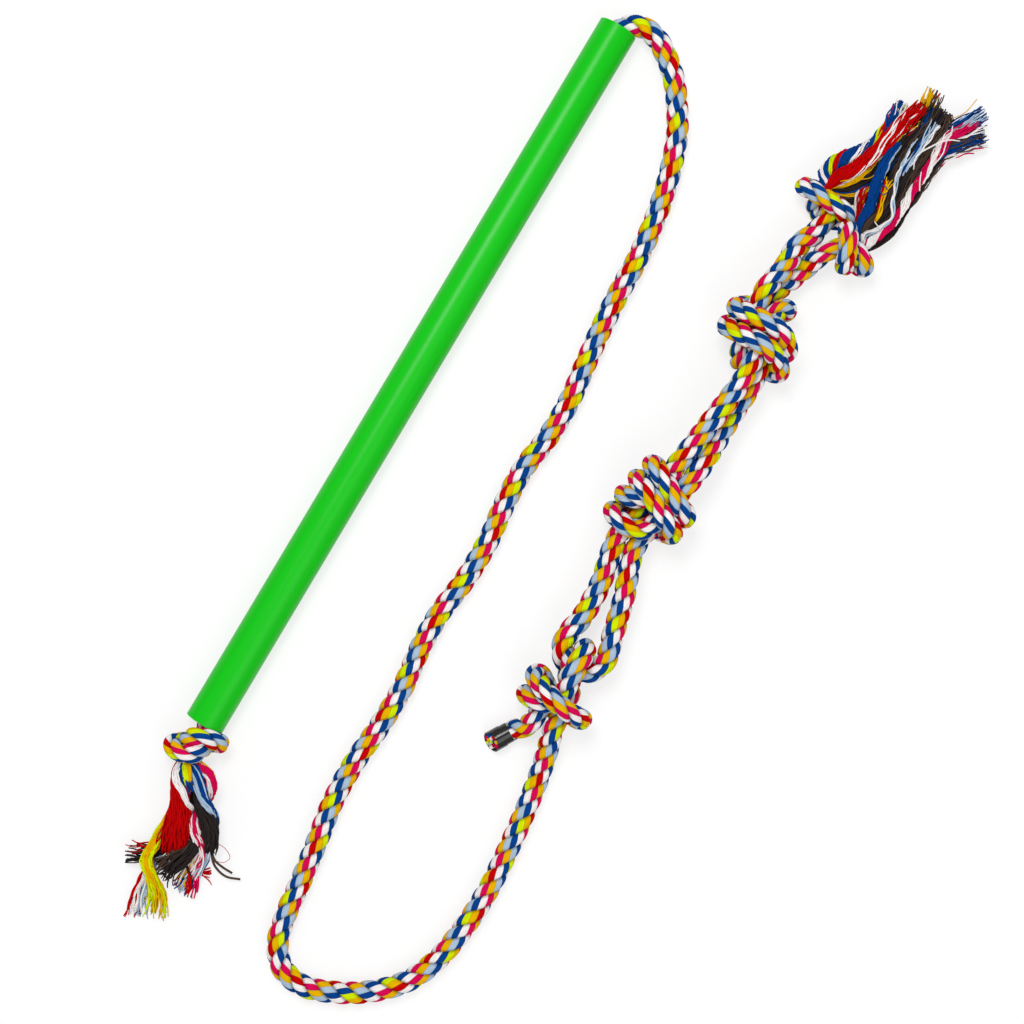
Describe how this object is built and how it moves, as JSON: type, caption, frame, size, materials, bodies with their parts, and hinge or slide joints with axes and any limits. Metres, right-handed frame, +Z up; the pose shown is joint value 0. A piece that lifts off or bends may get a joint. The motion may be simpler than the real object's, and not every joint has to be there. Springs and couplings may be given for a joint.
{
  "type": "dog flirt pole",
  "caption": "Plain plastic tube handle on a laid cotton rope with a stop knot, whose free end is tied to a doubled, knotted and frayed rope tug toy.",
  "frame": {"origin": "middle of the object's box, on the floor that it lies on", "axes": "+Z up from the floor, +Y along the tube from its frayed butt to its mouth, +X from the tube towards the toy"},
  "size_m": [0.2504, 0.6941, 0.0529],
  "materials": {
    "tube_plastic": "satin",
    "rope_cotton": "laid cotton yarn",
    "tape_black": "glossy",
    "yarn_red": "loose cotton yarn",
    "yarn_black": "loose cotton yarn",
    "yarn_brown": "loose cotton yarn",
    "yarn_pink": "loose cotton yarn",
    "yarn_neon": "loose cotton yarn",
    "yarn_navy": "loose cotton yarn",
    "yarn_sky": "loose cotton yarn",
    "yarn_white": "loose cotton yarn",
    "yarn_orange": "loose cotton yarn"
  },
  "bodies": {
    "lead": {"lead_rope": "rope_cotton", "tie_knot": "rope_cotton", "lead_tail": "rope_cotton", "end_tape": "tape_black"},
    "butt": {"core_rope": "rope_cotton", "stop_knot": "rope_cotton", "butt_yarn_red": "yarn_red", "butt_yarn_black": "yarn_black", "butt_yarn_pink": "yarn_pink", "butt_yarn_yellow": "yarn_neon", "butt_yarn_brown": "yarn_brown", "butt_yarn_blue": "yarn_sky"},
    "handle": {"handle_tube": "tube_plastic"},
    "toy": {"toy_bight": "rope_cotton", "toy_lower_knot_left": "rope_cotton", "toy_lower_knot_right": "rope_cotton", "toy_mid_leg_left": "rope_cotton", "toy_mid_leg_right": "rope_cotton", "toy_upper_knot_left": "rope_cotton", "toy_upper_knot_right": "rope_cotton", "toy_top_leg_left": "rope_cotton", "toy_top_leg_right": "rope_cotton", "toy_end_knot_left": "rope_cotton", "toy_end_knot_right": "rope_cotton", "left_yarn_navy": "yarn_navy", "left_yarn_red": "yarn_red", "left_yarn_black": "yarn_black", "left_yarn_blue": "yarn_sky", "left_yarn_white": "yarn_white", "left_yarn_orange": "yarn_orange", "right_yarn_black": "yarn_black", "right_yarn_navy": "yarn_navy", "right_yarn_pink": "yarn_pink", "right_yarn_brown": "yarn_brown", "right_yarn_white": "yarn_white", "right_yarn_neon": "yarn_neon"}
  },
  "joints": [
    {"name": "handle_spin", "type": "hinge", "parent": "lead", "child": "handle", "pos_m": [-0.1095, 0.025, 0.0125], "axis": [0, 1, 0], "continuous": true},
    {"name": "rope_draw", "type": "slide", "parent": "lead", "child": "butt", "axis": [0, -1, 0], "range_m": [0, 0.08]},
    {"name": "toy_swing", "type": "hinge", "parent": "lead", "child": "toy", "pos_m": [0.069, -0.065, 0.021], "axis": [0, 0, 1], "range_deg": [-80, 10]}
  ]
}
